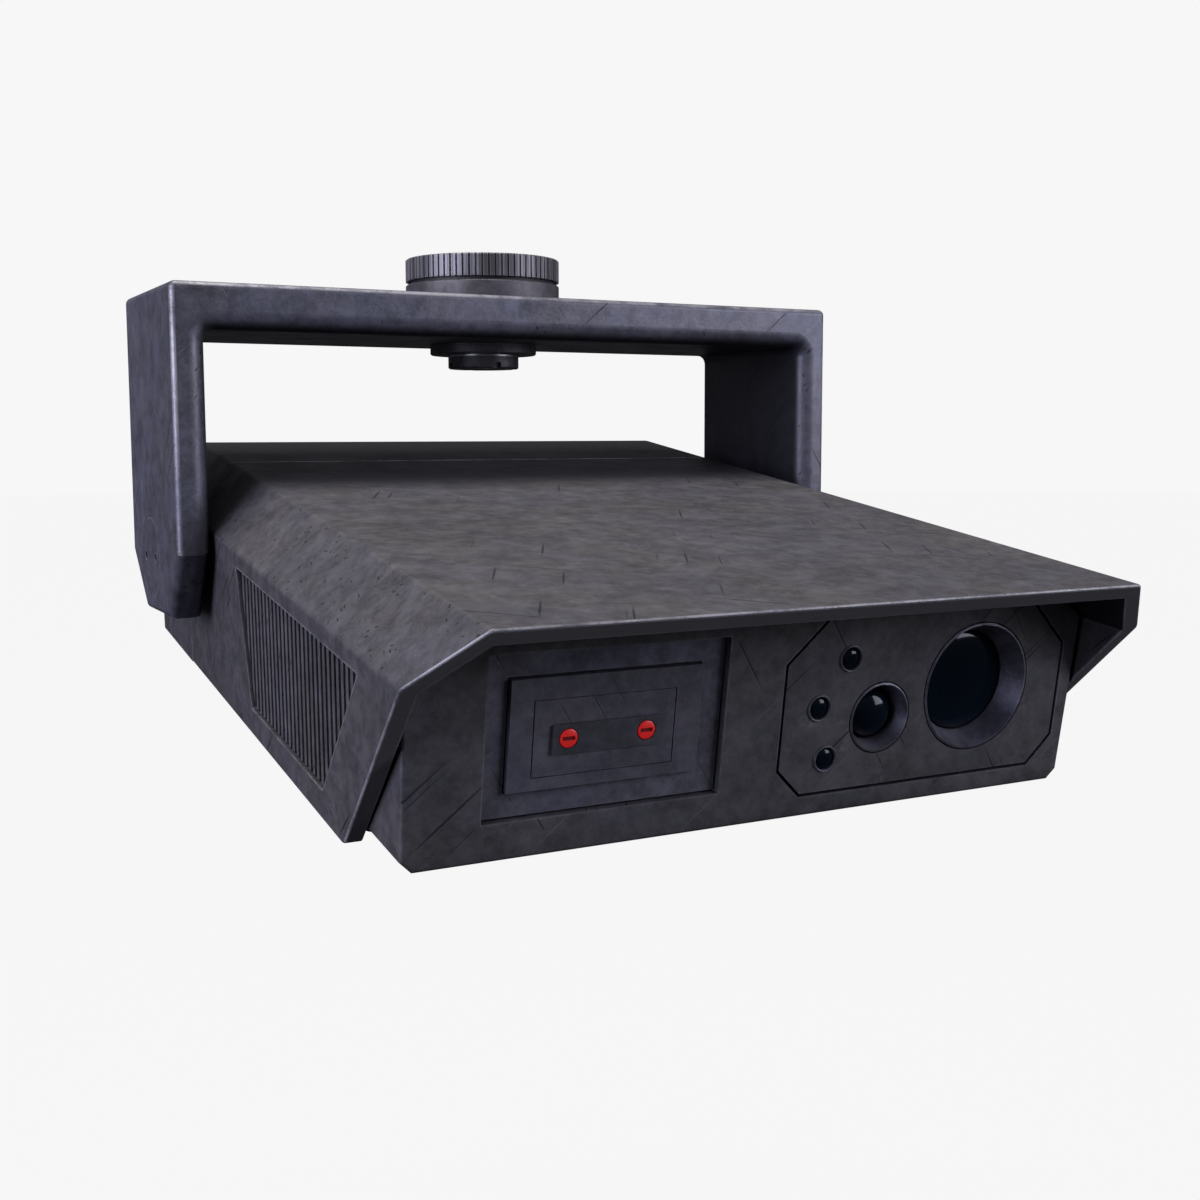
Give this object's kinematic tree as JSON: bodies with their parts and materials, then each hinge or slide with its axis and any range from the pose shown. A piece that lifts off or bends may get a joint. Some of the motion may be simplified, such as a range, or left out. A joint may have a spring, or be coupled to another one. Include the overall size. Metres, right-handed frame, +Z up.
{
  "type": "yoke-hung radar camera head",
  "caption": "Fixed traffic radar and camera head: a raked metal housing with grilles, lens and radar windows, hung in a pan and tilt yoke from a knurled top mount.",
  "frame": {"origin": "centre of the top mounting face, on the vertical pan axis", "axes": "+Z up out of the mounting face, +Y to the rear of the head, +X to the right seen from behind the lens, so the lenses look along -Y and slightly down"},
  "size_m": [0.35, 0.4113, 0.2377],
  "materials": {
    "cast_paint": "worn satin gunmetal coat on cast aluminium",
    "bezel_paint": "satin anodised look",
    "steel": "plain turned steel",
    "alloy": "machined, clear passivated",
    "bush": "filled bearing plastic",
    "rubber": "black sealing rubber and brake lining",
    "cover_plastic": "dark radar-clear plastic",
    "lock_red": "bright red enamel",
    "lens_glass": "coated dark glass",
    "circuit": "green circuit board",
    "black_plastic": "moulded black plastic",
    "screen": "fine blackened wire gauze"
  },
  "bodies": {
    "mount": {"mount_spindle": "steel", "spindle_nut": "cast_paint", "thrust_washer": "steel"},
    "lock_ring": {"knurled_ring": "cast_paint"},
    "yoke_assembly": {"yoke": "cast_paint", "base_collar": "cast_paint", "brake_ring": "rubber", "pan_bush_upper": "bush", "pan_bush_lower": "bush", "lower_flange": "cast_paint", "flange_screws": "steel", "tilt_bushes": "bush", "pivot_caps": "cast_paint", "friction_washers": "bush"},
    "lock_left": {"turn_lock_left": "lock_red"},
    "lock_right": {"turn_lock_right": "lock_red"},
    "head": {"antenna_board": "circuit", "base_pan": "cast_paint", "board_chips": "black_plastic", "board_posts": "alloy", "camera_barrel": "alloy", "camera_bezel": "bezel_paint", "camera_board": "circuit", "camera_glass": "lens_glass", "chassis_plate": "alloy", "chassis_screws": "steel", "chassis_standoffs": "alloy", "dust_screen_left": "screen", "dust_screen_right": "screen", "front_board_posts": "alloy", "gland_body": "black_plastic", "gland_locknut": "black_plastic", "gland_nut": "black_plastic", "gland_seal": "rubber", "grille_left": "bezel_paint", "grille_right": "bezel_paint", "heat_sink": "alloy", "hood": "cast_paint", "hood_screws": "steel", "inner_lens": "lens_glass", "lamp_bezel": "bezel_paint", "lamp_lens": "lens_glass", "lamp_module": "black_plastic", "lens_panel": "cast_paint", "lock_strip": "cover_plastic", "main_board": "circuit", "pivot_bolts": "steel", "power_supply": "alloy", "radar_cover": "cover_plastic", "radar_frame": "cast_paint", "radar_module": "alloy", "rear_hood": "cast_paint", "seam_strip": "rubber", "sensor_bezels": "bezel_paint", "sensor_board": "circuit", "sensor_diodes": "black_plastic", "sensor_lenses": "lens_glass", "tilt_block_left": "alloy", "tilt_block_right": "alloy", "vent_plug": "black_plastic"}
  },
  "joints": [
    {"name": "ring_turn", "type": "hinge", "parent": "mount", "child": "lock_ring", "pos_m": [0, 0, 0], "axis": [0, 0, 1], "range_deg": [0, 60]},
    {"name": "pan", "type": "hinge", "parent": "mount", "child": "yoke_assembly", "pos_m": [0, 0, 0], "axis": [0, 0, 1], "range_deg": [-170, 170]},
    {"name": "tilt", "type": "hinge", "parent": "yoke_assembly", "child": "head", "pos_m": [0, -0.004, -0.1477], "axis": [1, 0, 0], "range_deg": [-33, 37]},
    {"name": "lock_left_turn", "type": "hinge", "parent": "head", "child": "lock_left", "pos_m": [-0.0884, -0.2713, -0.19554], "axis": [0, -0.9896, -0.1438], "range_deg": [0, 90]},
    {"name": "lock_right_turn", "type": "hinge", "parent": "head", "child": "lock_right", "pos_m": [-0.0573, -0.2713, -0.19554], "axis": [0, -0.9896, -0.1438], "range_deg": [0, 90]}
  ]
}
